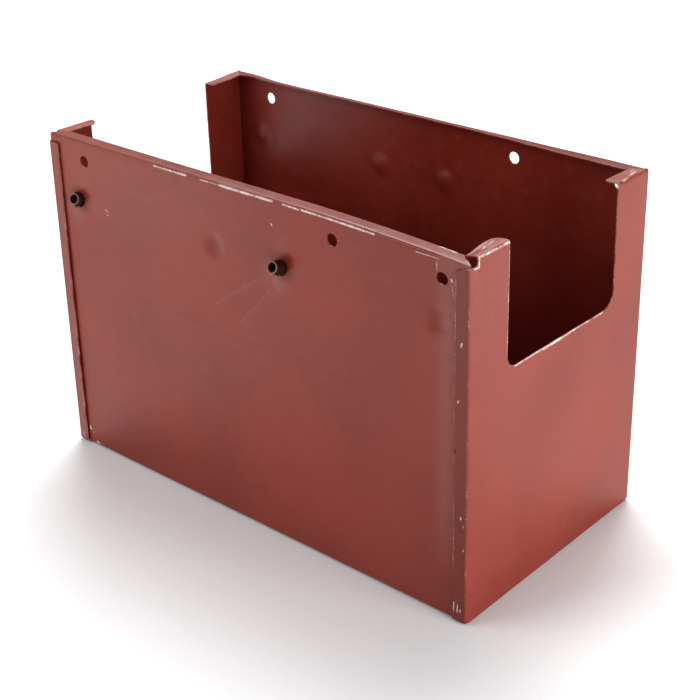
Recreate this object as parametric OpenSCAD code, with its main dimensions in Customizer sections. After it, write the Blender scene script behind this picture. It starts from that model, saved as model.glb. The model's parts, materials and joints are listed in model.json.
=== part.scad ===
// Open-topped paper bin of a newspaper vending box, folded from sheet steel.
// One wrapper sheet makes the front, the base and the back. Two flanged end panels close it.
// Origin: centre of the footprint, on the plane that the bin stands on.
// +X runs along the length, +Y from the front to the back, +Z up.

/* [Box] */
// Length over the two end panels
box_length = 381; // [280:1:600]
// Depth over the laps at the front and the back
box_depth = 195; // [150:1:320]
// Height from the standing plane to the rim
box_height = 254; // [190:1:400]

/* [Sheet] */
// Thickness of the steel sheet
sheet = 1.2; // [0.8:0.1:1.6]
// Inside radius of every fold
bend_radius = 1.2; // [0.8:0.1:2]

/* [Flanges] */
// Width of the end panels' flanges, outside measure
lap_width = 10.5; // [8:0.5:16]
// Width of the folded rim of the front and the back, outside measure
rim_width = 10.5; // [8:0.5:16]
// Gap between a cut edge of the wrapper and the start of an end panel's fold
wrap_clearance = 0.9; // [0.3:0.1:3]
// Half the width of the open slit where two rims meet at a corner
mitre_gap = 1.2; // [0.4:0.1:2]

/* [Corner reliefs] */
// Depth of the square relief at each top corner of an end panel
top_relief_depth = 8; // [5:0.5:12]
// Height of that relief
top_relief_height = 6.2; // [5:0.1:12]
// Room that the base relief leaves around the wrapper's lower fold
base_relief_clearance = 0.3; // [0.1:0.1:3]

/* [Hand notches] */
// Width of the tab left on each side of a notch
tab_width = 39; // [25:0.5:60]
// Depth of a notch below the rim
notch_depth = 86; // [40:1:120]
// Radius of the notch's lower corners
notch_radius = 11; // [4:0.5:20]
// Radius of the free corner of a tab's flange
tab_corner_radius = 7.5; // [2:0.5:7.5]

/* [Punched holes] */
// Diameter of the holes in the front and the back
hole_d = 8.7; // [5:0.1:12]
// Distance of the hole centres below the rim
hole_drop = 15; // [10:0.5:25]
// Left hole, from the left end
left_hole_inset = 37; // [20:0.5:60]
// Middle hole, to the right of the middle of the length
middle_hole_offset = 83.5; // [70:0.5:90]
// Right hole, from the right end
right_hole_inset = 21; // [18:0.5:50]

/* [Rivet nuts] */
// Distance of the rivet nuts and the dimples below the rim
station_drop = 46; // [35:0.5:80]
// Left rivet nut, from the left end
left_nut_inset = 27.5; // [22:0.5:60]
// Middle rivet nut, to the right of the middle of the length
middle_nut_offset = 38; // [25:0.5:55]
// Outside diameter of the threaded sleeve
nut_sleeve_d = 9.9; // [8:0.1:11]
// Diameter of the threaded bore
nut_bore_d = 5.4; // [4:0.1:6]
// Depth of the bevel round the outside of the sleeve's open end
nut_bevel = 0.5; // [0.2:0.1:0.8]
// How far the sleeve stands out of the sheet
nut_reach = 8.5; // [6:0.5:12]
// Diameter of the flat head inside the bin
nut_head_d = 13.2; // [12:0.1:16]
// Thickness of that head
nut_head_t = 1; // [0.6:0.1:2]
// Diameter over the collapsed collar outside
nut_collar_d = 12.8; // [12:0.1:14]
// Thickness of that collar
nut_collar_t = 3; // [2.6:0.1:4]
// Clearance between the sleeve and the punched hole, all round
nut_clearance = 0.05; // [0.02:0.01:0.2]

/* [Dimples] */
// Diameter of a dimple at the outer face
dimple_d = 18; // [12:1:22]
// How far a dimple is pushed in
dimple_depth = 1.5; // [0.8:0.1:2.5]
// End dimple: from the right end in front, from the left end at the back
end_dimple_inset = 24.5; // [22:0.5:60]
// Middle dimple: left of the middle of the length in front, right of it at the back
middle_dimple_offset = 23.5; // [15:0.5:55]

/* [Hidden] */
$fn = 64;

paint = [0.55, 0.27, 0.23];
nut_finish = [0.36, 0.22, 0.19];
// Overshoot of every cutting tool
cut = 1;

half_length = box_length / 2;
half_depth = box_depth / 2;
outer_bend = bend_radius + sheet;
// Half the depth over the wrapper's outer faces, which the laps touch
wrap_half_depth = half_depth - sheet;
// From an end of the bin to the wrapper's cut edge
wrap_inset = sheet + bend_radius + wrap_clearance;
wrap_length = box_length - 2 * wrap_inset;
base_relief = sheet + outer_bend + base_relief_clearance;
hole_height = box_height - hole_drop;
station_height = box_height - station_drop;
left_nut_x = left_nut_inset - half_length;
hole_places = [
    left_hole_inset - half_length,
    middle_hole_offset,
    half_length - right_hole_inset
];
front_dimples = [-middle_dimple_offset, half_length - end_dimple_inset];
// The back carries the front's pattern turned half round, with a dimple in the nut's place
back_dimples = [end_dimple_inset - half_length, -middle_nut_offset, middle_dimple_offset];
// The free corner of a tab's flange stays clear of its fold
free_corner = min(tab_corner_radius, lap_width - outer_bend);
// Radius of the ball whose cap is a dimple
dimple_ball = (dimple_d * dimple_d / 4 + dimple_depth * dimple_depth) / (2 * dimple_depth);

// Rectangle with round corners, lower left corner at the origin
module rounded_rect(width, height, radius) {
    translate([radius, 0]) square([width - 2 * radius, height]);
    translate([0, radius]) square([width, height - 2 * radius]);
    for (u = [radius, width - radius], v = [radius, height - radius])
        translate([u, v]) circle(r = radius);
}

// Section of a folded channel: its web's outer face lies on the second axis, its lips point to -X
module channel_section(span, lip) {
    difference() {
        translate([-2 * lip, 0]) rounded_rect(2 * lip, span, outer_bend);
        translate([-2 * lip - sheet, sheet]) rounded_rect(2 * lip, span - 2 * sheet, bend_radius);
        translate([-3 * lip, -cut]) square([2 * lip, span + 2 * cut]);
    }
}

// Section of the wrapper across the length: depth to the right, height up
module wrapper_section() {
    width = 2 * wrap_half_depth;
    height = box_height - sheet;
    mouth = width - 2 * rim_width;
    difference() {
        translate([-wrap_half_depth, sheet]) rounded_rect(width, height, outer_bend);
        translate([sheet - wrap_half_depth, 2 * sheet])
            rounded_rect(width - 2 * sheet, height - 2 * sheet, bend_radius);
        translate([-mouth / 2, box_height / 2]) square([mouth, box_height]);
    }
}

// Ball that cuts or swells a dimple in the front wall
module dimple_cap(x, radius) {
    centre = -wrap_half_depth + dimple_depth - dimple_ball;
    translate([x, centre, station_height]) sphere(r = radius, $fn = 96);
}

// Raised inner side of a dimple in the front wall
module dimple_swell(x) {
    side = dimple_d + 8 * sheet;
    intersection() {
        dimple_cap(x, dimple_ball + sheet);
        translate([x - side / 2, sheet / 2 - wrap_half_depth, station_height - side / 2])
            cube([side, dimple_depth + 2 * sheet, side]);
    }
}

// Round hole through the front wall
module front_hole(x, z, diameter) {
    translate([x, cut - wrap_half_depth + sheet, z])
        rotate([90, 0, 0]) cylinder(d = diameter, h = sheet + 2 * cut);
}

// Cuts the ends of the front rim at 45 degrees, clear of the tabs' flanges
module rim_mitres() {
    fold = sheet + outer_bend;
    edge = sheet + rim_width + cut;
    for (side = [0, 1])
        mirror([side, 0, 0])
            translate([half_length, -half_depth, box_height - outer_bend])
                linear_extrude(outer_bend + cut)
                    polygon([
                        [0, fold], [-fold - mitre_gap, fold],
                        [-edge - mitre_gap, edge], [0, edge]
                    ]);
}

module wrapper_sheet() {
    color(paint)
    difference() {
        union() {
            rotate([90, 0, 90])
                linear_extrude(wrap_length, center = true) wrapper_section();
            for (x = front_dimples) dimple_swell(x);
            mirror([0, 1, 0])
                for (x = back_dimples) dimple_swell(x);
        }
        rim_mitres();
        for (x = front_dimples) dimple_cap(x, dimple_ball);
        for (x = hole_places) front_hole(x, hole_height, hole_d);
        for (x = [left_nut_x, middle_nut_offset])
            front_hole(x, station_height, nut_sleeve_d + 2 * nut_clearance);
        mirror([0, 1, 0]) {
            rim_mitres();
            for (x = back_dimples) dimple_cap(x, dimple_ball);
            for (x = hole_places) front_hole(x, hole_height, hole_d);
        }
    }
}

// U-shaped opening seen along the length: depth to the right, height up
module notch_outline() {
    width = box_depth - 2 * tab_width;
    translate([-width / 2, box_height - notch_depth])
        rounded_rect(width, notch_depth + 2 * notch_radius, notch_radius);
}

// Takes the sharp free corner off a tab's flange at the front
module tab_corner_cut() {
    translate([half_length - lap_width, tab_width - half_depth, box_height - outer_bend])
        linear_extrude(outer_bend + cut)
            difference() {
                translate([-cut, -free_corner]) square([free_corner + cut, free_corner + cut]);
                translate([free_corner, -free_corner]) circle(r = free_corner);
            }
}

// Cuts the corner end of a tab's flange at 45 degrees, clear of the front rim
module tab_mitre_cut() {
    edge = lap_width + cut;
    translate([half_length, -half_depth, box_height - outer_bend])
        linear_extrude(outer_bend + cut)
            polygon([
                [-outer_bend, -cut], [-outer_bend, outer_bend + mitre_gap],
                [-edge, edge + mitre_gap], [-edge, -cut]
            ]);
}

// Square corner of the blank that is left out above the front lap
module top_relief_cut() {
    translate([half_length - lap_width - cut, -half_depth - cut, box_height - top_relief_height])
        cube([lap_width + 2 * cut, top_relief_depth + cut, top_relief_height + cut]);
}

// End panel at the right end
module end_panel() {
    color(paint)
    difference() {
        union() {
            translate([half_length, -half_depth, base_relief])
                linear_extrude(box_height - base_relief - top_relief_height)
                    channel_section(box_depth, lap_width);
            translate([half_length, half_depth - base_relief, 0])
                rotate([90, 0, 0])
                    linear_extrude(box_depth - 2 * base_relief)
                        channel_section(box_height, lap_width);
        }
        rotate([90, 0, 90])
            linear_extrude(box_length) notch_outline();
        for (side = [0, 1])
            mirror([0, side, 0]) {
                top_relief_cut();
                tab_mitre_cut();
                tab_corner_cut();
            }
    }
}

module left_end_panel() {
    mirror([1, 0, 0]) end_panel();
}

module right_end_panel() {
    end_panel();
}

// Set rivet nut along +Z: the sheet's outer face is at zero, its head is below the sheet
module rivet_nut() {
    underside = -sheet - nut_head_t;
    collar_ring = nut_collar_t / 2;
    color(nut_finish)
    difference() {
        union() {
            translate([0, 0, underside]) cylinder(d = nut_head_d, h = nut_head_t);
            translate([0, 0, underside])
                cylinder(d = nut_sleeve_d, h = nut_reach - nut_bevel - underside);
            translate([0, 0, nut_reach - nut_bevel])
                cylinder(d1 = nut_sleeve_d, d2 = nut_sleeve_d - 2 * nut_bevel, h = nut_bevel);
            translate([0, 0, collar_ring])
                rotate_extrude()
                    translate([nut_collar_d / 2 - collar_ring, 0]) circle(r = collar_ring);
        }
        translate([0, 0, underside - cut])
            cylinder(d = nut_bore_d, h = nut_reach - underside + 2 * cut);
    }
}

// Places a rivet nut in the front wall
module seated_nut(x) {
    translate([x, -wrap_half_depth, station_height]) rotate([90, 0, 0]) rivet_nut();
}

module left_rivet_nut() {
    seated_nut(left_nut_x);
}

module middle_rivet_nut() {
    seated_nut(middle_nut_offset);
}

wrapper_sheet();
left_end_panel();
right_end_panel();
left_rivet_nut();
middle_rivet_nut();
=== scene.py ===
"""Newspaper vending box: the open paper bin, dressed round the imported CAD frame.

Each of the three steel parts is a flat blank that is meshed with its holes and cut edges, folded along
its bends and then dented a little. The two rivet nuts are turned shapes, set in the front. Lengths are
in millimetres until a mesh is made.
"""

import json
import math

import bpy
import numpy as np
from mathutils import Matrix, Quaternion, Vector
from mathutils.geometry import delaunay_2d_cdt


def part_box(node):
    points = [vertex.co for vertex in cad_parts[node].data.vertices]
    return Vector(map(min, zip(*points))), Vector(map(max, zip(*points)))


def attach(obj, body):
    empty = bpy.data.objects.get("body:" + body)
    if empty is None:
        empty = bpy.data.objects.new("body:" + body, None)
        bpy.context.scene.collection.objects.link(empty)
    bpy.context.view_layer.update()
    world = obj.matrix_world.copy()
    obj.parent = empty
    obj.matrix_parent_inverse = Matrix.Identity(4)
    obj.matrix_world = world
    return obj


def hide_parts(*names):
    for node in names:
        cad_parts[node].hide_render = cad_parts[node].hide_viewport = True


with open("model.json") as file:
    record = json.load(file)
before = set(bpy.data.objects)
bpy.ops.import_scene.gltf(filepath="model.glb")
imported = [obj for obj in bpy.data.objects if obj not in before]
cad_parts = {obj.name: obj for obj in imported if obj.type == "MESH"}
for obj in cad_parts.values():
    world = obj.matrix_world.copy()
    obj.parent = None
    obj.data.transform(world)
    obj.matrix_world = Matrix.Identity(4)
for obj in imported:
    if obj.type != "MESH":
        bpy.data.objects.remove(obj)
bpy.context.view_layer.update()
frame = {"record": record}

# ---------------------------------------------------------------- places taken from the frame

MM = 0.001


def node_box(name):
    """Lowest and highest corner of a CAD node in millimetres."""
    low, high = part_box(name)
    return np.array(low) / MM, np.array(high) / MM


def mounts():
    """The record's mounts by name."""
    return {mount["name"]: mount for mount in frame["record"]["mounts"]}


def pattern_places(name):
    """Middle x values and the height of a bolt pattern that has two holes in a row."""
    mount = mounts()[name]
    x, _, z = (value / MM for value in mount["pos_m"])
    half = mount["dims"]["spacing_x_mm"] / 2
    return [x - half, x + half], z, mount["dims"]["hole_r_mm"]


END_LOW, END_HIGH = node_box("right_end_panel")
WRAP_LOW, WRAP_HIGH = node_box("wrapper_sheet")
HALF_LENGTH, HALF_DEPTH, HEIGHT = END_HIGH
LAP = END_HIGH[0] - END_LOW[0]
SHEET = WRAP_LOW[2]
WRAP_HALF_LENGTH = HALF_LENGTH - SHEET     # up to the inside of the end panels
WRAP_HALF_DEPTH = WRAP_HIGH[1]
OUTER_HOLES, HOLE_HEIGHT, HOLE_RADIUS = pattern_places("front_outer_holes")
RIGHT_HOLES, _, _ = pattern_places("front_right_holes")
HOLES = [OUTER_HOLES[0], RIGHT_HOLES[0], RIGHT_HOLES[1]]
NUTS, STATION, BORE_RADIUS = pattern_places("threaded_inserts")
NUT_LOW, NUT_HIGH = node_box("left_rivet_nut")
HEAD_RADIUS = (NUT_HIGH[0] - NUT_LOW[0]) / 2

# ---------------------------------------------------------------- sizes that the frame doesn't give

BEND = 1.8              # outside radius of every fold
RIM = 10.5              # width of the wrapper's folded rim
NOTCH_DEPTH = 86.0
NOTCH_RADIUS = 11.0
FRONT_TAB = (39.0, 7.5)          # width of the tab beside a hand notch, rounding of its free corner
BACK_TAB = {-1: (38.6, 1.2), 1: (36.6, 1.2)}     # the same at the back of the left and the right end
RIM_MITRE = 11.0        # how far a rim's free edge stops short of its fold at each end
FRONT_RELIEF = (8.0, 6.2, 9.0)   # top corner of an end panel: depth, height, end of the tab's flange
BACK_RELIEF = (1.6, 2.0, 9.0)    # the same at the back, where it is nearly closed
BASE_RELIEF = 3.9       # relief at the lower corners of an end panel
LAP_FOOT = BEND         # height at which its side laps start
PUNCHED_RADIUS = 5.0    # hole that a rivet nut sits in
SLEEVE_RADIUS = 4.95
COLLAR_RADIUS = 5.1
COLLAR_BULGE = 0.6      # how far the folded collar's middle swells beyond its ends
COLLAR_END = 3.0        # how far it stands out of the sheet
OPEN_END_RADIUS = 4.1   # of a nut's thin tube beyond its collar, battered shorter than when new
THREAD_PITCH = 1.0
THREAD_DEPTH = 0.3
FRONT_DIMPLES = [-23.5, 166.0]
BACK_DIMPLES = [-166.0, -38.0, 23.5]
DIMPLE_RADIUS = 10.0
DIMPLE_DEPTH = 2.3

FLOOR_REACH = 6000.0

BEND_STEPS = 6
HOLE_SIDES = 56
COLLAR_STEPS = 9
NUT_SIDES = 72
BEND_ARC = math.pi / 2 * (BEND - SHEET / 2)
CORNER = 0.8            # rounding of a blank's punched corners
GUARD = 0.6             # width of the narrow strip that keeps the shading of a cut edge off the flat
GAP = 0.1               # least distance from that strip to a grid line
CLEAR = 0.3             # least distance of a grid point from an outline
ROUNDED = [(GUARD, 0.0), (0.2, 0.0), (0.06, 0.06), (0.0, 0.2)]
EDGE_PROFILE = ROUNDED + [(reach, SHEET - depth) for reach, depth in reversed(ROUNDED)]

# ---------------------------------------------------------------- outlines of the blanks


def unit(vectors):
    """Vectors of length one."""
    return vectors / np.linalg.norm(vectors, axis=-1, keepdims=True)


def rounded_loop(corners):
    """Closed outline through corners (u, v, radius), each rounded by its own radius."""
    points = []
    for index, (u, v, radius) in enumerate(corners):
        here = np.array([u, v])
        if radius == 0:
            points.append(here)
            continue
        back = unit(np.array(corners[index - 1][:2]) - here)
        ahead = unit(np.array(corners[(index + 1) % len(corners)][:2]) - here)
        half = math.acos(float(np.clip(back @ ahead, -1, 1))) / 2
        centre = here + unit(back + ahead) * radius / math.sin(half)
        spokes = [here + way * radius / math.tan(half) - centre for way in (back, ahead)]
        start, end = (math.atan2(spoke[1], spoke[0]) for spoke in spokes)
        turn = (end - start + math.pi) % (2 * math.pi) - math.pi
        steps = max(4, round(radius * abs(turn)))
        for angle in start + turn * np.arange(steps + 1) / steps:
            points.append(centre + radius * np.array([math.cos(angle), math.sin(angle)]))
    return np.array(points)


def hole_loop(u, v, radius):
    """A round hole, clockwise."""
    angles = -np.arange(HOLE_SIDES) * 2 * math.pi / HOLE_SIDES
    return np.stack([u + radius * np.cos(angles), v + radius * np.sin(angles)], axis=1)


def divided(loop, lines_u, lines_v):
    """The outline with points where its upright and level stretches cross the grid lines."""
    points = []
    for start, end in zip(loop, np.roll(loop, -1, axis=0)):
        points.append(start)
        span = end - start
        length = np.linalg.norm(span)
        if abs(span[0]) < 1e-6:
            shares = (lines_v - start[1]) / span[1]
        elif abs(span[1]) < 1e-6:
            shares = (lines_u - start[0]) / span[0]
        else:
            continue
        margin = (GUARD + GAP) / length
        for share in np.sort(shares[(shares > margin) & (shares < 1 - margin)]):
            points.append(start + span * share)
    return np.array(points)


def inset(loop, reach):
    """The outline moved into the sheet by reach. Outer outlines turn left and holes turn right."""
    before = unit(loop - np.roll(loop, 1, axis=0))
    after = unit(np.roll(loop, -1, axis=0) - loop)
    inward_before = np.stack([-before[:, 1], before[:, 0]], axis=1)
    inward_after = np.stack([-after[:, 1], after[:, 0]], axis=1)
    spread = 1 + (inward_before * inward_after).sum(axis=1, keepdims=True)
    return loop + (inward_before + inward_after) / spread * reach


def evenly(start, end, step):
    """Values from start to end, about step apart."""
    return np.linspace(start, end, max(1, round((end - start) / step)) + 1)


def fold_lines(straights, steps):
    """Grid values along a folded strip: its straight stretches, and the bends between them."""
    values, at = [0.0], 0.0
    for index, (straight, step) in enumerate(zip(straights, steps)):
        values.extend(evenly(at, at + straight, step)[1:])
        at += straight
        if index < len(straights) - 1:
            values.extend(evenly(at, at + BEND_ARC, BEND_ARC / BEND_STEPS)[1:])
            at += BEND_ARC
    return np.array(values)


# ---------------------------------------------------------------- folding


def folded(along, depth, straights, start, heading):
    """Points of a strip folded by quarter turns towards its inner side, in its own plane.

    along is the distance along the blank, and depth the distance from the outer face.
    """
    place = np.array(start, float)
    ahead = np.array(heading, float)
    inward = np.array([-ahead[1], ahead[0]])
    points = np.zeros((len(along), 2))
    at = 0.0
    for index, straight in enumerate(straights):
        last = index == len(straights) - 1
        on_flat = (along >= at - 1e-9) & ((along <= at + straight + 1e-9) | last)
        run = (along[on_flat] - at)[:, None]
        points[on_flat] = place + run * ahead + depth[on_flat][:, None] * inward
        if last:
            break
        at += straight
        centre = place + straight * ahead + BEND * inward
        in_bend = (along > at) & (along < at + BEND_ARC)
        angle = (along[in_bend] - at)[:, None] / BEND_ARC * math.pi / 2
        spoke = -np.cos(angle) * inward + np.sin(angle) * ahead
        points[in_bend] = centre + (BEND - depth[in_bend])[:, None] * spoke
        at += BEND_ARC
        place = centre + BEND * ahead
        ahead, inward = inward, -ahead
    return points


WALL = HEIGHT - SHEET - 2 * BEND
WRAP_STRAIGHTS = [WRAP_HALF_DEPTH - BEND, WALL, RIM - BEND]      # half the base, a wall, its rim
WRAP_STEPS = [6.0, 2.7, 2.0]                     # grid steps on each of them
WRAP_STEP_ALONG = 2.8
ACROSS_STRAIGHTS = [HALF_DEPTH - BEND, LAP - BEND]               # half an end panel, its side lap
UPRIGHT_STRAIGHTS = [HEIGHT / 2 - BEND, LAP - BEND]              # the same upwards, its top flange
END_STEPS = [2.4, 1.3]
WALL_START = WRAP_STRAIGHTS[0] + BEND_ARC
RIM_START = WALL_START + WALL
RIDGE = BEND_ARC / 2 + 0.6       # how far into the rim's fold the ridge lies that marks are placed from


def fold_wrapper(u, v, depth):
    """Blank of the wrapper: u along the length, v from the middle of the base up each wall."""
    strip = folded(np.abs(v), depth, WRAP_STRAIGHTS, (0, SHEET), (1, 0))
    return np.stack([u, np.sign(v) * strip[:, 0], strip[:, 1]], axis=1)


def fold_end(u, v, depth):
    """Blank of the right end panel: u from front to back, v up from its middle."""
    across = folded(np.abs(u), depth, ACROSS_STRAIGHTS, (0, 0), (1, 0))
    upright = folded(np.abs(v), depth, UPRIGHT_STRAIGHTS, (0, 0), (1, 0))
    lapped = np.abs(u) > ACROSS_STRAIGHTS[0]
    flanged = np.abs(v) > UPRIGHT_STRAIGHTS[0]
    y = np.where(lapped, np.sign(u) * across[:, 0], u)
    z = np.where(flanged, np.sign(v) * upright[:, 0], v) + HEIGHT / 2
    inset_depth = np.where(lapped, across[:, 1], np.where(flanged, upright[:, 1], depth))
    return np.stack([HALF_LENGTH - inset_depth, y, z], axis=1)


# ---------------------------------------------------------------- dents and bows of the used bin

LEFT_NUT, MIDDLE_NUT = NUTS
NUT_TILT = math.radians(20)
NUT_REACH = {"left": 5.7, "middle": 7.8}   # from the sheet to the open end
NUT_YAW = {"left": math.radians(15), "middle": 0.0}     # turned to the right
NUT_PUCKER = (0.7, 15.0)         # share of a nut's tilt that the sheet follows, and how far out
NUT_HOLLOW = (0.5, 26.0)         # depth and radius of the hollow round it
FRONT_BOW, BACK_BOW, END_BOW = 0.55, 0.5, 0.45     # height of the slow waves in the walls
WALL_NEAR = (55.0, 84.0)         # y between which the dents of the front and the back fade in
END_NEAR = (140.0, 176.0)        # x between which those of the ends fade in
LEFT_LEAN = 2.4         # how far the left end leans in at the rim
BACK_RIM_RISE = 2.2     # how far the free edge of the back rim is bent up
BACK_RISE_FADE = {1: (40.0, 172.0), -1: (164.0, 184.0)}     # where that fades out towards each end
BACK_LEFT_RISE = 1.6    # how far the corner at the back left is pulled up
FRONT_RIM_SAG = 4.6     # how far the right end of the front rim is knocked down
SAG_START = 60.0        # where that starts along the front
SAG_FOOT = 212.0        # height that it reaches down to
FLANGE_DROOP = 2.6      # how far the front end of the flange beside it hangs down
DROOP_FADE = (10.0, 28.0)        # how far behind the front that starts and ends to fade
LAP_LIFT = {-1: 0.8, 1: 0.15}    # how far the free edge of a front lap stands off the wrapper
LAP_DARKENING = {-1: 0.1, 1: 0.42}   # how much darker a front lap is painted
FOOT_DENT = (20.0, 22.0, 9.0, 0.8)       # dent low in each end: y, z, radius, depth
CREASE_FADE = 0.6       # share of its depth that a crease loses along the way
# creases of the front: (x, z) of their start and end, width, depth
CREASES = [
    ((MIDDLE_NUT - 4, STATION - 6), (24.0, 186.0), 3.6, 0.55),
    ((24.0, 186.0), (-3.0, 156.0), 4.6, 0.4),
    ((MIDDLE_NUT - 7, STATION - 5), (2.0, 184.0), 3.4, -0.4),
    ((2.0, 184.0), (-26.0, 164.0), 5.0, 0.3),
]
FAINT_CREASES = [
    ((MIDDLE_NUT + 3, STATION + 7), (60.0, 224.0), 4.0, 0.2),
    ((LEFT_NUT + 6, STATION - 3), (-132.0, 188.0), 4.0, 0.2),
]


def bell(distance, radius):
    """1 in the middle, easing to 0 at the radius."""
    share = np.clip(1 - (distance / radius) ** 2, 0, 1)
    return share * share


def dimple(distance):
    """Depth of a dimple: a shallow bowl with a clear rim."""
    share = np.clip(1 - (distance / DIMPLE_RADIUS) ** 2, 0, 1)
    return DIMPLE_DEPTH * share ** 1.35


def ease(values, low, high):
    """0 at low, 1 at high, smooth between."""
    share = np.clip((values - low) / (high - low), 0, 1)
    return share * share * (3 - 2 * share)


def line_distance(points, start, end):
    """Distance of 2-D points from a stretch of line, and how far along it they are, from 0 to 1."""
    start, end = np.array(start, float), np.array(end, float)
    span = end - start
    share = np.clip(((points - start) @ span) / max(span @ span, 1e-9), 0, 1)
    return np.linalg.norm(points - start - share[:, None] * span, axis=1), share


def waves(a, b, seed):
    """Slow unevenness of a sheet, between about -1 and 1."""
    chance = np.random.default_rng(seed)
    total = np.zeros(len(a))
    for _ in range(7):
        angle, phase = chance.uniform(0, 2 * math.pi, 2)
        length = chance.uniform(70, 190)
        total += np.sin((a * math.cos(angle) + b * math.sin(angle)) * 2 * math.pi / length + phase)
    return total / 4


def front_dents(x, z):
    """How far the front wall is pushed in."""
    points = np.stack([x, z], axis=1)
    pushed = FRONT_BOW * waves(x, z, 4) * ease(z, 8, 60) * ease(HALF_LENGTH - np.abs(x), 8, 40)
    for place in FRONT_DIMPLES:
        pushed += dimple(np.hypot(x - place, z - STATION))
    for nut in NUTS:
        away = np.hypot(x - nut, z - STATION)
        pushed += NUT_PUCKER[0] * math.tan(NUT_TILT) * (z - STATION) * bell(away, NUT_PUCKER[1])
        pushed += NUT_HOLLOW[0] * bell(away, NUT_HOLLOW[1])
    for start, end, width, depth in CREASES + FAINT_CREASES:
        away, share = line_distance(points, start, end)
        pushed += depth * bell(away, width) * (1 - CREASE_FADE * share)
    return pushed


def back_dents(x, z):
    """How far the back wall is pushed in."""
    pushed = BACK_BOW * waves(x, z, 9) * ease(z, 8, 60) * ease(HALF_LENGTH - np.abs(x), 8, 40)
    for place in BACK_DIMPLES:
        pushed += dimple(np.hypot(x - place, z - STATION))
    return pushed


def end_dents(y, z, seed):
    """How far an end panel is pushed in."""
    pushed = END_BOW * waves(y, z, seed) * ease(z, 5, 50) * ease(HALF_DEPTH - np.abs(y), 4, 30)
    dent_y, dent_z, radius, depth = FOOT_DENT
    pushed += depth * bell(np.hypot(y - dent_y, z - dent_z), radius)
    return pushed


def rim_sag(points):
    """How far the top of the front wall and its rim are knocked down at the right."""
    x, y, z = points.T
    along = np.clip((x - SAG_START) / (WRAP_HALF_LENGTH - SAG_START), 0, 1) ** 2
    return FRONT_RIM_SAG * along * ease(z, SAG_FOOT, HEIGHT - 1.5) * (y < 0)


def flange_droop(points, on_top):
    """How far the free edge of the right end's top flange hangs down beside that sag."""
    x, y, _ = points.T
    free_edge = (1 - ease(x, HALF_LENGTH - LAP + 1, HALF_LENGTH - BEND)) * on_top
    fade_start, fade_end = DROOP_FADE
    return FLANGE_DROOP * free_edge * (1 - ease(y, fade_start - HALF_DEPTH, fade_end - HALF_DEPTH))


def beaten(points):
    """Points of the new bin moved to where they are on the used one."""
    x, y, z = points.T
    moved = points.copy()
    near_front, near_back = ease(-y, *WALL_NEAR), ease(y, *WALL_NEAR)
    near_left, near_right = ease(-x, *END_NEAR), ease(x, *END_NEAR)
    moved[:, 1] += near_front * front_dents(x, z) - near_back * back_dents(x, z)
    moved[:, 0] += near_left * end_dents(y, z, 12) - near_right * end_dents(y, z, 5)
    moved[:, 0] += LEFT_LEAN * z / HEIGHT * (HALF_LENGTH - x) / (2 * HALF_LENGTH)
    back_rim = ease(z, HEIGHT - 4, HEIGHT - 1.5) * (y > 60)
    for side, (fade_start, fade_end) in BACK_RISE_FADE.items():
        back_rim *= 1 - ease(side * x, fade_start, fade_end)
    moved[:, 2] += BACK_RIM_RISE * back_rim * (1 - ease(y, HALF_DEPTH - RIM, HALF_DEPTH - 1.5))
    moved[:, 2] += BACK_LEFT_RISE * near_left * ease(z, HEIGHT - 14, HEIGHT - 1) * ease(y, 62, 92)
    return moved


# ---------------------------------------------------------------- wear, as marks on the blanks


def front(x, z):
    """Place on the wrapper's blank of a point of the front wall or its rim."""
    return x, -(WALL_START + z - SHEET - BEND)


def back(x, z):
    """Place on the wrapper's blank of a point of the back wall."""
    return x, WALL_START + z - SHEET - BEND


def front_rim(x, reach):
    """Place on the wrapper's blank of a point of the front rim, reach behind its fold's ridge."""
    return x, -(RIM_START + RIDGE + reach)


# each mark: where it starts, where it ends, its half width and how worn it is
WRAPPER_MARKS = [
    (front_rim(-78, -1.4), front_rim(-46, -1.4), 0.6, 0.68),
    (front_rim(-32, -1.3), front_rim(-14, -1.2), 0.5, 0.64),
    (front_rim(-14, -1.3), front_rim(33, -1.4), 0.75, 0.72),
    (front_rim(42, -1.3), front_rim(56, -1.5), 0.6, 0.68),
    (front_rim(58, -1.3), front_rim(118, -1.5), 0.6, 0.68),
    (front(149, 250.8), front(167, 251.6), 0.5, 0.66),
    (front_rim(160, 8.6), front_rim(173, 8.2), 0.8, 0.72),
    (front(165.6, 248), front(165.8, 243), 0.45, 0.72),
    (front(-155.6, 241.5), front(-155, 240.5), 0.8, 0.85),
    (front(-134, 207.0), front(-133.2, 206.7), 0.5, 0.75),
    (front(-131.8, 206.4), front(-131.7, 205.8), 0.45, 0.72),
    (front(-132.4, 203.6), front(-131.9, 203.2), 0.5, 0.74),
    (front(31, 237), front(32, 236), 0.6, 0.8),
    (front(176.4, 241), front(177, 239.5), 0.6, 0.8),
    (front(177, 235), front(178.6, 226), 0.4, 0.56),
    (front(-178, 15), front(-177, 13), 0.9, 0.75),
    (front(-174.5, 11.5), front(-174, 10), 0.5, 0.7),
    (front(-171, 3.6), front(-168, 3.2), 0.8, 0.74),
    (front(186.6, 246), front(186.7, 251), 0.7, 0.85),
]

# two faint dark lines across the front and down it
GHOST_LINES = [
    (front(-103, 146), front(113, 144.5), 0.7, 1.0),
    (front(-103, 146), front(-109, 49), 0.7, 1.0),
]
# round patches on the front: x and z of the middle from a nut or dimple, radius, strength
NUT_HAZE = (-7.0, -7.0, 20.0, 0.4)
# dirt and painted shade round each nut
NUT_DIRT_AND_SHADE = (2.0, 1.0, 13.0, 0.9)
# painted shade in each front dimple
DIMPLE_SHADE = (-2.0, 1.0, 8.0, 0.3)
# the paint is a little paler along the clear creases: light scuffs, and painted highlight that brings the
# creases out
CREASE_LINES = [(front(*start), front(*end), width / 5, 1.0) for start, end, width, _ in CREASES]

# ---------------------------------------------------------------- meshing


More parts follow.
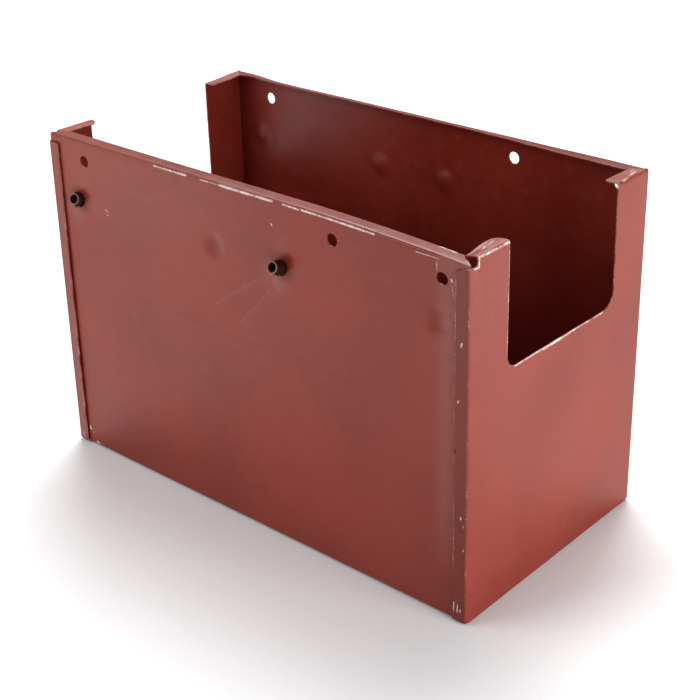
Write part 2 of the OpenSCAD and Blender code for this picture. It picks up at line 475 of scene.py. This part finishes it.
def inside(points, loops, clear):
    """Which points lie in the sheet, at least clear from every outline."""
    kept = np.zeros(len(points), bool)
    near = np.zeros(len(points), bool)
    x, y = points.T
    for loop in loops:
        for start, end in zip(loop, np.roll(loop, -1, axis=0)):
            span = end - start
            share = np.clip(((points - start) @ span) / (span @ span), 0, 1)
            gap = points - start - share[:, None] * span
            near |= (gap * gap).sum(axis=1) < clear * clear
            if span[1] != 0:
                crosses = (start[1] > y) != (end[1] > y)
                kept ^= crosses & (x < start[0] + (y - start[1]) * span[0] / span[1])
    return kept & ~near


def mark_points(marks):
    """Extra points along the marks, so that the wear on them is sharp."""
    points = []
    for start, end, width, _ in marks:
        start, end = np.array(start), np.array(end)
        span = end - start
        length = np.linalg.norm(span)
        side = np.array([-span[1], span[0]]) / length
        step = max(0.6, width / 4)
        for run in evenly(-width, length + width, step):
            for offset in evenly(-1.5 * width, 1.5 * width, step):
                points.append(start + span / length * run + side * offset)
    return np.array(points).reshape(-1, 2)


def sheet_mesh(loops, lines_u, lines_v, marks):
    """Flat sheet with rounded cut edges: (u, v, depth) of its points, and its faces."""
    rings = [[inset(loop, reach) for reach, _ in EDGE_PROFILE] for loop in loops]
    rims = [ring[0] for ring in rings]
    grid = np.stack(np.meshgrid(lines_u, lines_v), axis=-1).reshape(-1, 2)
    candidates = np.concatenate([grid, mark_points(marks)])
    flat = np.concatenate(rims + [candidates[inside(candidates, rims, CLEAR)]])
    starts = np.cumsum([0] + [len(rim) for rim in rims])
    outlines = [list(range(first, last)) for first, last in zip(starts, starts[1:])]
    edges = [(loop[i - 1], loop[i]) for loop in outlines for i in range(len(loop))]
    made = delaunay_2d_cdt([Vector(point) for point in flat], edges, [], 0, 1e-5, False)
    if len(made[0]) != len(flat):
        raise ValueError("the blank's outline crosses itself")
    triangles = np.array(made[2])
    # a triangle between outline points alone may lie in a hole or in a notch
    doubtful = (triangles < starts[-1]).all(axis=1)
    within = inside(flat[triangles[doubtful]].mean(axis=1), rims, 0)
    triangles = np.concatenate([triangles[~doubtful], triangles[doubtful][within]])
    count = len(flat)
    points = [np.column_stack([flat, np.zeros(count)]), np.column_stack([flat, np.full(count, SHEET)])]
    faces = triangles.tolist() + (triangles[:, ::-1] + count).tolist()
    total = 2 * count
    for ring, outline in zip(rings, outlines):
        size = len(outline)
        upper = np.array(outline)
        for step in range(1, len(EDGE_PROFILE)):
            if step < len(EDGE_PROFILE) - 1:
                lower = total + np.arange(size)
                points.append(np.column_stack([ring[step], np.full(size, EDGE_PROFILE[step][1])]))
                total += size
            else:
                lower = np.array(outline) + count
            following = np.roll(np.arange(size), -1)
            quads = np.stack([upper[following], upper, lower, lower[following]], axis=1)
            faces += quads.tolist()
            upper = lower
    return np.concatenate(points), faces


def outer_side(depth):
    """1 on a sheet's outer face, easing to 0 on its inner one."""
    return 1 - ease(depth, 0.3, SHEET)


def mark_wear(points, marks):
    """Wear from 0 to 1 at points (u, v, depth), on the outer side of the sheet."""
    worn = np.zeros(len(points))
    for start, end, width, strength in marks:
        away, _ = line_distance(points[:, :2], start, end)
        worn = np.maximum(worn, strength * np.clip(1.6 - away / width, 0, 1))
    return worn * outer_side(points[:, 2])


def edge_wear(points):
    """1 on the cut edges of the sheet, 0 on its two faces."""
    depth = points[:, 2]
    cut = (depth > 0.01) & (depth < SHEET - 0.01)
    return cut.astype(float)


def bend_wear(along, straights, depth):
    """1 on the ridge of a fold's outer side, 0 on the flats."""
    worn = np.zeros(len(along))
    at = 0.0
    for straight in straights[:-1]:
        at += straight
        worn = np.maximum(worn, bell(np.abs(along) - at - BEND_ARC / 2, BEND_ARC * 0.75))
        at += BEND_ARC
    return worn * outer_side(depth)


def strongest(*layers):
    """At each point, the highest of the layers' values."""
    return np.maximum.reduce(layers)


def patches(x, z, places, patch):
    """A round patch beside each of the places along the front, at the nuts' height."""
    shift_x, shift_z, radius, strength = patch
    away = [np.hypot(x - place - shift_x, z - STATION - shift_z) for place in places]
    return strength * bell(np.minimum.reduce(away), radius)


def wrapper_look(flat, points):
    """Wear, haze, painted highlight, grime and painted shade of the wrapper, from its points on the blank and
    after folding.
    """
    x, y, z = points.T
    outer = outer_side(flat[:, 2])
    on_front = ease(-y, 90, 95) * outer
    worn = strongest(
        mark_wear(flat, WRAPPER_MARKS),
        0.34 * edge_wear(flat),
        0.22 * bend_wear(flat[:, 1], WRAP_STRAIGHTS, flat[:, 2]),
    )
    haze_and_sheen = strongest(
        0.42 * on_front * ease(x, 161, 172) * ease(z, 20, 90),     # scuffed strip beside the right lap
        # painted highlight: the upper left of the front paler
        0.26 * on_front * ease(z, 170, 240) * (1 - ease(x, -80, 60)),     # upper left of the front
        0.24 * mark_wear(flat, CREASE_LINES),
        on_front * patches(x, z, NUTS, NUT_HAZE),
    )
    grime_and_shade = strongest(
        0.2 * mark_wear(flat, GHOST_LINES),
        # painted shade on the lower right of the front
        0.19 * on_front * ease(x, 60, 178) * (1 - 0.5 * ease(z, 60, 200)),     # lower right of the front
        # dirt and painted shade round the nuts, painted shade in the dimples
        on_front * patches(x, z, NUTS, NUT_DIRT_AND_SHADE),
        on_front * patches(x, z, FRONT_DIMPLES, DIMPLE_SHADE),
        # painted shade on top of the rims
        0.32 * ease(z, HEIGHT - 1.6, HEIGHT - 0.6) * outer,     # top of the rims
        # painted shade inside, darker towards the base
        (1 - outer) * (0.16 + 0.2 * (1 - ease(z, 40, 230))),    # inside, darker towards the base
        # painted shade at the foot
        0.6 * (1 - ease(z, SHEET + 0.2, SHEET + BEND)),         # foot
    )
    return {"wear": worn, "haze_and_sheen": haze_and_sheen, "grime_and_shade": grime_and_shade}


def end_look(side, flat, points, marks):
    """Wear, haze, painted highlight, grime and painted shade of an end panel, from its points on the blank
    and after folding.
    """
    z = points[:, 2]
    outer = outer_side(flat[:, 2])
    lap_fold, flange_fold = ACROSS_STRAIGHTS[0], UPRIGHT_STRAIGHTS[0]
    worn = strongest(
        mark_wear(flat, marks),
        0.45 * edge_wear(flat),
        0.33 * bend_wear(flat[:, 0], ACROSS_STRAIGHTS, flat[:, 2]),
        0.33 * bend_wear(flat[:, 1], UPRIGHT_STRAIGHTS, flat[:, 2]),
    )
    haze_and_sheen = strongest(
        0.45 * ease(flat[:, 1], flange_fold, flange_fold + BEND_ARC) * outer,     # top flange
        # painted highlight: the upper part of the panel paler
        0.22 * outer * ease(z, 140, 250),
    )
    grime_and_shade = strongest(
        # a front lap painted darker
        LAP_DARKENING[side] * ease(-flat[:, 0], lap_fold, lap_fold + BEND_ARC),       # front lap
        # painted shade inside, darker towards the base
        (1 - outer) * (0.2 + 0.2 * (1 - ease(z, 40, 230))),     # inside, darker towards the base
        # painted shade at the foot
        0.6 * (1 - ease(z, 0.2, BEND)),                         # foot
    )
    return {"wear": worn, "haze_and_sheen": haze_and_sheen, "grime_and_shade": grime_and_shade}


def make_piece(name, points, faces, values, material):
    """A mesh object from points in millimetres, with smooth shading and named vertex values."""
    mesh = bpy.data.meshes.new(name)
    mesh.from_pydata((points * MM).tolist(), [], faces)
    for title, numbers in values.items():
        layer = mesh.attributes.new(title, "FLOAT", "POINT")
        layer.data.foreach_set("value", np.ascontiguousarray(numbers, np.float32))
    mesh.polygons.foreach_set("use_smooth", np.ones(len(faces), bool))
    mesh.materials.append(material)
    mesh.update()
    piece = bpy.data.objects.new(name, mesh)
    bpy.context.scene.collection.objects.link(piece)
    return piece


def outward(points, faces):
    """The faces turned so that the solid's volume is positive."""
    corners = np.array([face[:3] for face in faces])
    fourth = np.array([face[-1] for face in faces])
    a, b, c, d = points[corners[:, 0]], points[corners[:, 1]], points[corners[:, 2]], points[fourth]
    volume = (a * np.cross(b, c)).sum() + (a * np.cross(c, d)).sum()
    return faces if volume > 0 else [face[::-1] for face in faces]


# ---------------------------------------------------------------- materials


class Shader:
    """A material's nodes, made one at a time. An input is a value or another node's output."""

    def __init__(self, name):
        self.material = bpy.data.materials.new(name)
        self.material.use_nodes = True
        self.tree = self.material.node_tree
        self.tree.nodes.clear()

    def add(self, kind, inputs=None, output=0, **settings):
        """Adds a node, fills its inputs by name or number, and gives one of its outputs."""
        node = self.tree.nodes.new(kind)
        for title, value in settings.items():
            setattr(node, title, value)
        for key, value in (inputs or {}).items():
            if isinstance(value, bpy.types.NodeSocket):
                self.tree.links.new(value, node.inputs[key])
            else:
                node.inputs[key].default_value = value
        return node.outputs[output] if len(node.outputs) else None

    def math(self, operation, a, b):
        """The result of an operation on two numbers."""
        return self.add("ShaderNodeMath", {0: a, 1: b}, operation=operation)

    def noise(self, place, scale, detail=3.0, roughness=0.5):
        """Noise whose grains are about a metre over scale across."""
        return self.add("ShaderNodeTexNoise", {"Vector": place, "Scale": scale, "Detail": detail,
                                               "Roughness": roughness})

    def stretch(self, place, scale):
        """A place scaled on each axis."""
        return self.add("ShaderNodeVectorMath", {0: place, 1: scale}, operation="MULTIPLY")

    def ramp(self, value, low, high, start=0.0, end=1.0):
        """Smooth step from start to end as value goes from low to high."""
        return self.add("ShaderNodeMapRange", {"Value": value, "From Min": low, "From Max": high,
                                               "To Min": start, "To Max": end},
                        interpolation_type="SMOOTHSTEP")

    def mix(self, share, a, b):
        """A colour between a and b."""
        return self.add("ShaderNodeMix", {0: share, 6: a, 7: b}, output=2, data_type="RGBA")

    def value(self, title):
        """A value that the mesh carries at its vertices."""
        return self.add("ShaderNodeAttribute", output="Fac", attribute_name=title)


def rgb(red, green, blue):
    """A linear colour with full alpha."""
    return (red, green, blue, 1.0)


PAINT = rgb(0.28, 0.040, 0.023)
PAINT_DEEP = rgb(0.23, 0.028, 0.015)
PAINT_CHALKY = rgb(0.34, 0.075, 0.052)
# pale paint of scuffs and specks, and of painted highlight
PAINT_PALE = rgb(0.33, 0.14, 0.11)
PRIMER = rgb(0.78, 0.55, 0.50)
BARE_STEEL = rgb(0.80, 0.72, 0.69)
# colour of dirt and of painted shade
GRIME_AND_SHADE = rgb(0.062, 0.009, 0.005)


def sheet_paint():
    """Old red oxide paint: uneven, scuffed, worn through to primer and steel along the folds, with dirt and
    painted shade, and pale scuffs and painted highlight.
    """
    shader = Shader("sheet_paint")
    place = shader.add("ShaderNodeTexCoord", output="Object")
    clouds = shader.noise(place, 11, 4)
    mottle = shader.noise(place, 95, 4, 0.6)
    grain = shader.noise(place, 900, 3, 0.6)
    specks = shader.noise(place, 1900, 2, 0.5)
    tone = shader.mix(shader.ramp(clouds, 0.35, 0.68), PAINT_DEEP, PAINT)
    tone = shader.mix(shader.ramp(mottle, 0.45, 0.8, 0.0, 0.32), tone, PAINT_CHALKY)
    # pale scuffs together with painted highlight
    haze_and_sheen = shader.math("MULTIPLY", shader.value("haze_and_sheen"), shader.ramp(mottle, 0.3, 0.62, 0.55, 1.0))
    tone = shader.mix(haze_and_sheen, tone, PAINT_PALE)
    tone = shader.mix(shader.ramp(specks, 0.66, 0.74, 0.0, 0.35), tone, PAINT_PALE)

    lengthwise = shader.noise(shader.stretch(place, (140, 140, 1500)), 1.0, 3, 0.65)
    upright = shader.noise(shader.stretch(place, (1500, 1500, 120)), 1.0, 3, 0.65)
    scuffs = shader.math("MAXIMUM", shader.ramp(lengthwise, 0.70, 0.76, 0.0, 0.22),
                         shader.ramp(upright, 0.71, 0.77, 0.0, 0.22))
    tone = shader.mix(scuffs, tone, PAINT_PALE)

    ragged = shader.math("ADD", shader.math("MULTIPLY", grain, 0.75),
                         shader.math("MULTIPLY", mottle, 0.75))
    worn = shader.math("ADD", shader.value("wear"), shader.math("SUBTRACT", ragged, 0.75))
    thin = shader.ramp(worn, 0.34, 0.62)
    through = shader.ramp(worn, 0.58, 0.72)
    tone = shader.mix(shader.math("MULTIPLY", thin, 0.55), tone, PRIMER)
    tone = shader.mix(through, tone, BARE_STEEL)
    # dirt together with painted shade: inside, at the foot, on top of the rims, round the nuts and in the
    # dimples
    grime_and_shade = shader.math("MULTIPLY", shader.value("grime_and_shade"), shader.ramp(mottle, 0.3, 0.7, 0.6, 1.0))
    tone = shader.mix(grime_and_shade, tone, GRIME_AND_SHADE)

    gloss = shader.ramp(clouds, 0.3, 0.7, 0.30, 0.40)
    gloss = shader.math("ADD", gloss, shader.ramp(mottle, 0.35, 0.75, 0.0, 0.10))
    gloss = shader.math("ADD", gloss, shader.math("MULTIPLY", haze_and_sheen, 0.12))
    gloss = shader.math("ADD", gloss, shader.math("MULTIPLY", thin, 0.18))
    height = shader.math("ADD", shader.math("MULTIPLY", grain, 0.35),
                         shader.math("MULTIPLY", mottle, 0.9))
    height = shader.math("SUBTRACT", height, shader.math("MULTIPLY", through, 0.9))
    height = shader.math("SUBTRACT", height, shader.math("MULTIPLY", scuffs, 0.5))
    relief = shader.add("ShaderNodeBump", {"Height": height, "Strength": 0.35, "Distance": 0.00012})
    surface = shader.add("ShaderNodeBsdfPrincipled", {
        "Base Color": tone, "Roughness": gloss, "Normal": relief, "Specular IOR Level": 0.5})
    shader.add("ShaderNodeOutputMaterial", {"Surface": surface})
    return shader.material


def nut_paint():
    """Steel rivet nut: painted over, dark with dirt and painted shade, worn bright round the open end."""
    shader = Shader("rivet_nut")
    place = shader.add("ShaderNodeTexCoord", output="Object")
    mottle = shader.noise(place, 420, 4, 0.6)
    grain = shader.noise(place, 2200, 3, 0.6)
    tone = shader.mix(shader.ramp(mottle, 0.35, 0.65), rgb(0.10, 0.026, 0.019), rgb(0.19, 0.056, 0.042))
    worn = shader.math("ADD", shader.value("wear"), shader.math("SUBTRACT", grain, 0.5))
    bare = shader.ramp(worn, 0.42, 0.7)
    tone = shader.mix(bare, tone, rgb(0.42, 0.27, 0.23))
    # dirt and painted shade on the collar and down the bore
    tone = shader.mix(shader.value("grime_and_shade"), tone, rgb(0.020, 0.0045, 0.0035))
    gloss = shader.ramp(mottle, 0.3, 0.7, 0.45, 0.7)
    relief = shader.add("ShaderNodeBump", {"Height": mottle, "Strength": 0.4, "Distance": 0.0002})
    surface = shader.add("ShaderNodeBsdfPrincipled", {
        "Base Color": tone, "Metallic": shader.math("MULTIPLY", bare, 0.6), "Roughness": gloss,
        "Normal": relief, "Specular IOR Level": 0.15})
    shader.add("ShaderNodeOutputMaterial", {"Surface": surface})
    return shader.material


def floor_paint():
    """Plain pale studio floor."""
    shader = Shader("studio_floor")
    surface = shader.add("ShaderNodeBsdfPrincipled", {"Base Color": rgb(0.93, 0.93, 0.93),
                                                     "Roughness": 0.8})
    shader.add("ShaderNodeOutputMaterial", {"Surface": surface})
    return shader.material


# ---------------------------------------------------------------- the pieces


def wrapper_loops():
    """Outline of the wrapper's blank, and its punched holes."""
    far = RIM_START + BEND_ARC
    quarter = [(WRAP_HALF_LENGTH, far, 0), (WRAP_HALF_LENGTH - RIM_MITRE, far + RIM - BEND, 0)]
    left_back = [(-u, v, r) for u, v, r in reversed(quarter)]
    left_front = [(-u, -v, r) for u, v, r in quarter]
    right_front = [(u, -v, r) for u, v, r in reversed(quarter)]
    outline = rounded_loop(quarter + left_back + left_front + right_front)
    holes = [hole_loop(*wall(x, HOLE_HEIGHT), HOLE_RADIUS) for wall in (front, back) for x in HOLES]
    holes += [hole_loop(*front(x, STATION), PUNCHED_RADIUS) for x in NUTS]
    return [outline] + holes


def end_side(relief_depth, relief_height, mitre_end, tab_width, tab_corner):
    """Half of an end panel's outline, from its base lap over a side lap and a tab into the notch."""
    half = HEIGHT / 2
    lap_edge = sum(ACROSS_STRAIGHTS) + BEND_ARC
    flange_edge = sum(UPRIGHT_STRAIGHTS) + BEND_ARC
    tab_start = HALF_DEPTH - relief_depth
    notch_edge = HALF_DEPTH - tab_width
    return [
        (HALF_DEPTH - BASE_RELIEF, -flange_edge, CORNER), (HALF_DEPTH - BASE_RELIEF, LAP_FOOT - half, CORNER),
        (lap_edge, LAP_FOOT - half, CORNER), (lap_edge, half - relief_height, CORNER),
        (tab_start, half - relief_height, CORNER), (tab_start, flange_edge - (LAP - BEND), 0),
        (HALF_DEPTH - mitre_end, flange_edge, 0), (notch_edge, flange_edge, tab_corner),
        (notch_edge, half - NOTCH_DEPTH, NOTCH_RADIUS),
    ]


def end_loop(side):
    """Outline of an end panel's blank: laps at the sides, a base lap and two tabs round the notch."""
    to_front = [(-u, v, radius) for u, v, radius in end_side(*FRONT_RELIEF, *FRONT_TAB)]
    return rounded_loop(end_side(*BACK_RELIEF, *BACK_TAB[side]) + to_front[::-1])


def mirrored(values):
    """Values on both sides of zero."""
    return np.concatenate([-values[:0:-1], values])


def wrapper_piece(material):
    """The sheet that makes the front, the base and the back."""
    lines_u = evenly(-WRAP_HALF_LENGTH, WRAP_HALF_LENGTH, WRAP_STEP_ALONG)
    lines_v = mirrored(fold_lines(WRAP_STRAIGHTS, WRAP_STEPS))
    outline, *holes = wrapper_loops()
    loops = [divided(outline, lines_u, lines_v)] + holes
    flat, faces = sheet_mesh(loops, lines_u, lines_v, WRAPPER_MARKS + GHOST_LINES + CREASE_LINES)
    points = fold_wrapper(*flat.T)
    moved = beaten(points)
    moved[:, 2] -= rim_sag(points)
    look = wrapper_look(flat, points)
    piece = make_piece("wrapper", moved, outward(moved, faces), look, material)
    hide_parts("wrapper_sheet")
    return piece


def end_piece(side, name, marks, material):
    """An end panel: side is 1 on the right and -1 on the left."""
    lines_u = mirrored(fold_lines(ACROSS_STRAIGHTS, END_STEPS))
    lines_v = mirrored(fold_lines(UPRIGHT_STRAIGHTS, END_STEPS))
    loops = [divided(end_loop(side), lines_u, lines_v)]
    flat, faces = sheet_mesh(loops, lines_u, lines_v, marks)
    points = fold_end(*flat.T)
    lap_start = ACROSS_STRAIGHTS[0] + BEND_ARC
    points[:, 1] -= LAP_LIFT[side] * ease(-flat[:, 0], lap_start, lap_start + ACROSS_STRAIGHTS[1])
    if side == 1:
        points[:, 2] -= flange_droop(points, flat[:, 1] > 0)
    points[:, 0] *= side
    moved = beaten(points)
    look = end_look(side, flat, points, marks)
    piece = make_piece(name, moved, outward(moved, faces), look, material)
    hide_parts(name.replace("panel", "end_panel"))
    return piece


def end_mark(y, z, reach_y, reach_z, width, strength):
    """A mark on an end panel's blank, from (y, z) to a point that far away."""
    start = (y, z - HEIGHT / 2)
    return (start, (start[0] + reach_y, start[1] + reach_z), width, strength)


def lap_mark(inset_x, z, reach_z, width, strength):
    """A mark on the front lap of an end panel, inset_x from the end of the bin."""
    u = -(ACROSS_STRAIGHTS[0] + BEND_ARC + inset_x - BEND)
    return ((u, z - HEIGHT / 2), (u + 0.3, z + reach_z - HEIGHT / 2), width, strength)


RIGHT_MARKS = [
    lap_mark(5.5, 199, 2.0, 0.8, 0.8),
    lap_mark(7.5, 162, 1.5, 0.6, 0.75),
    lap_mark(4.5, 79, 2.0, 0.6, 0.75),
    lap_mark(2.6, 74, 1.5, 0.5, 0.75),
    lap_mark(2.6, 56, 1.5, 0.5, 0.75),
    lap_mark(9.4, 8.5, 7.0, 0.6, 0.75),
    lap_mark(6.6, 9, 6.0, 0.6, 0.72),
    lap_mark(4.4, 9.5, 2.0, 0.6, 0.72),
    lap_mark(9.9, 205, 38, 0.45, 0.56),
    lap_mark(9.9, 40, 165, 0.4, 0.52),
    end_mark(-89, 252.6, 30, 0.0, 0.7, 0.60),
    end_mark(-88.6, 248, 0.4, 5.0, 0.7, 0.72),
    end_mark(-93, 246.8, 4.6, 0.0, 0.7, 0.74),
    end_mark(-84, 256, 9, 2.5, 0.8, 0.52),
    end_mark(-72, 258, 6, 1.5, 0.8, 0.52),
    end_mark(66, 253.4, 8, 0.5, 0.8, 0.56),
    end_mark(78, 255, 9, 1.5, 0.9, 0.58),
    end_mark(84, 258.5, 5, 1.0, 0.8, 0.55),
    end_mark(-58.9, 248, 0.0, -70.0, 0.35, 0.55),
    end_mark(-50, 168.0, 98.0, 0.0, 0.75, 0.64),
    end_mark(-20, 167.2, 30.0, 0.3, 0.8, 0.66),
]
LEFT_MARKS = [
    lap_mark(9.6, 30, 180, 0.4, 0.5),
    lap_mark(5.5, 5, 3, 0.6, 0.7),
]


def nut_skin(tip):
    """Outer skin of a set rivet nut: (distance from the sheet, radius, wear, grime and painted shade), head
    to open end.
    """
    under = -WRAP_HALF_DEPTH - NUT_HIGH[1]
    tube = OPEN_END_RADIUS
    # the last value of each row is dirt and painted shade, darkest on the sleeve, the collar, the tube behind
    # it and down the bore
    skin = [
        # head, against the inside of the front
        (under, HEAD_RADIUS - 1.6, 0.1, 0.0), (under, HEAD_RADIUS - 0.35, 0.2, 0.0),
        (under + 0.12, HEAD_RADIUS - 0.1, 0.4, 0.0), (under + 0.4, HEAD_RADIUS, 0.3, 0.0),
        (-SHEET - 0.25, HEAD_RADIUS, 0.1, 0.3), (-SHEET - 0.05, HEAD_RADIUS - 0.2, 0.0, 0.6),
        # sleeve through the hole, and the foot of the collar
        (-SHEET + 0.02, SLEEVE_RADIUS, 0.0, 0.8), (0.02, SLEEVE_RADIUS, 0.0, 0.9),
        (0.1, COLLAR_RADIUS - 0.4, 0.0, 0.9),
    ]
    for step in range(COLLAR_STEPS):
        angle = math.pi * (step + 0.5) / COLLAR_STEPS
        along = 0.2 + COLLAR_END / 2 * (1 - math.cos(angle))
        skin.append((along, COLLAR_RADIUS + COLLAR_BULGE * (math.sin(angle) - 1), 0.05, 0.86))
    skin += [
        # thin tube, and its open end
        (COLLAR_END + 0.25, COLLAR_RADIUS - 0.7, 0.0, 0.92), (COLLAR_END + 0.5, tube + 0.05, 0.0, 0.92),
        (tip - 1.8, tube, 0.1, 0.75), (tip - 0.7, tube, 0.3, 0.45), (tip - 0.3, tube - 0.02, 0.6, 0.2),
        (tip - 0.08, tube - 0.12, 1.0, 0.0), (tip, tube - 0.3, 0.8, 0.1),
        (tip - 0.03, BORE_RADIUS + 0.45, 0.2, 0.45), (tip - 0.3, BORE_RADIUS + 0.25, 0.1, 0.85),
    ]
    return skin


def nut_rows(tip, angles, seed):
    """Rings of a nut, along its skin and back through its thread: (along, radii, wear, grime and painted
    shade).
    """
    skin = nut_skin(tip)
    under = skin[0][0]
    phase = np.random.default_rng(seed).uniform(0, 2 * math.pi)
    uneven = 0.13 * np.sin(2 * angles + phase) + 0.08 * np.sin(5 * angles + 2 * phase)
    rows = []
    for along, radius, worn, dirt_and_shade in skin:
        share = 1.0 if 0.05 < along < tip / 2 else 0.3     # the collar is the most uneven
        rows.append((along, radius + share * uneven, worn, dirt_and_shade))
    # the thread is painted dark: painted shade down the bore, with dirt
    for along in evenly(under + 0.5, tip - 0.6, THREAD_PITCH / 6)[::-1]:
        wave = np.abs(2 * ((along / THREAD_PITCH - angles / (2 * math.pi)) % 1.0) - 1)
        rows.append((along, BORE_RADIUS + THREAD_DEPTH * wave, 0.0, 0.8))
    rows.append((under + 0.15, BORE_RADIUS + 0.35, 0.1, 0.5))
    return rows


def set_in_front(name, x, points):
    """Points of a nut that stands on the sheet at x, tilted up and turned sideways."""
    across, y, z = points.T
    out = y * math.cos(NUT_TILT) + z * math.sin(NUT_TILT)
    up = z * math.cos(NUT_TILT) - y * math.sin(NUT_TILT)
    yaw = NUT_YAW[name]
    turned = [across * math.cos(yaw) - out * math.sin(yaw), out * math.cos(yaw) + across * math.sin(yaw)]
    pushed = front_dents(np.array([x]), np.array([STATION]))[0]
    return np.column_stack([*turned, up]) + np.array([x, pushed - WRAP_HALF_DEPTH, STATION])


def nut_piece(name, x, seed, material):
    """A set rivet nut with its folded collar and its thread, blind side outwards and knocked upwards."""
    angles = np.arange(NUT_SIDES) * 2 * math.pi / NUT_SIDES
    rows = nut_rows(NUT_REACH[name], angles, seed)
    rings = [np.column_stack([radii * np.cos(angles), np.full(NUT_SIDES, -along), radii * np.sin(angles)])
             for along, radii, _, _ in rows]
    placed = set_in_front(name, x, np.concatenate(rings))
    first = np.arange(NUT_SIDES)
    after = np.roll(first, -1)
    faces = []
    for row in range(len(rows)):
        start, below = row * NUT_SIDES, (row + 1) % len(rows) * NUT_SIDES
        quads = np.stack([start + first, start + after, below + after, below + first], axis=1)
        faces += quads.tolist()
    look = {"wear": np.repeat([row[2] for row in rows], NUT_SIDES),
            "grime_and_shade": np.repeat([row[3] for row in rows], NUT_SIDES)}
    piece = make_piece("rivet_nut_" + name, placed, outward(placed, faces), look, material)
    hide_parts(name + "_rivet_nut")
    return piece


def floor_piece(material):
    """Large floor under the bin."""
    reach = FLOOR_REACH
    corners = np.array([[-reach, -reach, 0], [reach, -reach, 0], [reach, reach, 0], [-reach, reach, 0]])
    floor = make_piece("studio_floor", corners, [(0, 1, 2, 3)], {}, material)


def make_bin():
    """All the pieces of the bin, riding on the frame's one body."""
    paint, nut_finish = sheet_paint(), nut_paint()
    sheets = [
        wrapper_piece(paint),
        end_piece(-1, "left_panel", LEFT_MARKS, paint),
        end_piece(1, "right_panel", RIGHT_MARKS, paint),
    ]
    nuts = [
        nut_piece("left", LEFT_NUT, 1, nut_finish),
        nut_piece("middle", MIDDLE_NUT, 2, nut_finish),
    ]
    for pieces, slot in ((sheets, "sheet_paint"), (nuts, "rivet_nut")):
        for piece in pieces:
            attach(piece, "root")


# ---------------------------------------------------------------- studio

AZIMUTH, ELEVATION, ROLL = 41.75, 25.08, 1.41
AIM = (5.4, 7.2, 130.7)
CAMERA_DISTANCE = 1069.8
LENS, SHIFT_UP = 76.1, -0.057
LAMP_AIM = (0, 0, 120)


def direction(azimuth, elevation):
    """Unit vector from the bin towards a viewer at that azimuth and elevation, in degrees."""
    a, e = math.radians(azimuth), math.radians(elevation)
    return Vector((math.sin(a) * math.cos(e), -math.cos(a) * math.cos(e), math.sin(e)))


def make_camera():
    """Camera at the viewing angle of the picture."""
    camera = bpy.data.objects.new("camera", bpy.data.cameras.new("camera"))
    bpy.context.scene.collection.objects.link(camera)
    away = direction(AZIMUTH, ELEVATION)
    camera.location = (Vector(AIM) + away * CAMERA_DISTANCE) * MM
    camera.rotation_mode = "QUATERNION"
    level = (-away).to_track_quat("-Z", "Y")
    camera.rotation_quaternion = level @ Quaternion((0, 0, 1), -math.radians(ROLL))
    camera.data.lens = LENS
    camera.data.shift_y = SHIFT_UP
    bpy.context.scene.camera = camera


def soft_box(name, azimuth, elevation, distance, size, power):
    """A square soft light aimed at the bin. distance and size are in metres."""
    light = bpy.data.lights.new(name, "AREA")
    light.shape = "SQUARE"
    light.size = size
    light.energy = power
    lamp = bpy.data.objects.new(name, light)
    bpy.context.scene.collection.objects.link(lamp)
    away = direction(azimuth, elevation)
    lamp.location = Vector(LAMP_AIM) * MM + away * distance
    lamp.rotation_mode = "QUATERNION"
    lamp.rotation_quaternion = away.to_track_quat("Z", "Y")
    lamp.visible_camera = False


def make_studio():
    """Pale floor, pale surroundings and soft lights."""
    floor_piece(floor_paint())
    world = bpy.data.worlds.new("studio")
    world.use_nodes = True
    sky = world.node_tree.nodes["Background"]
    sky.inputs["Color"].default_value = rgb(0.95, 0.97, 1.0)
    sky.inputs["Strength"].default_value = 0.24
    bpy.context.scene.world = world
    bpy.context.scene.view_settings.view_transform = "Standard"
    bpy.context.scene.view_settings.look = "Medium High Contrast"
    soft_box("rear", 215, 58, 2.5, 1.6, 60)
    soft_box("right", 85, 12, 1.5, 0.9, 14)
    soft_box("front", -35, 30, 1.5, 1.0, 8)


make_camera()
make_studio()
make_bin()
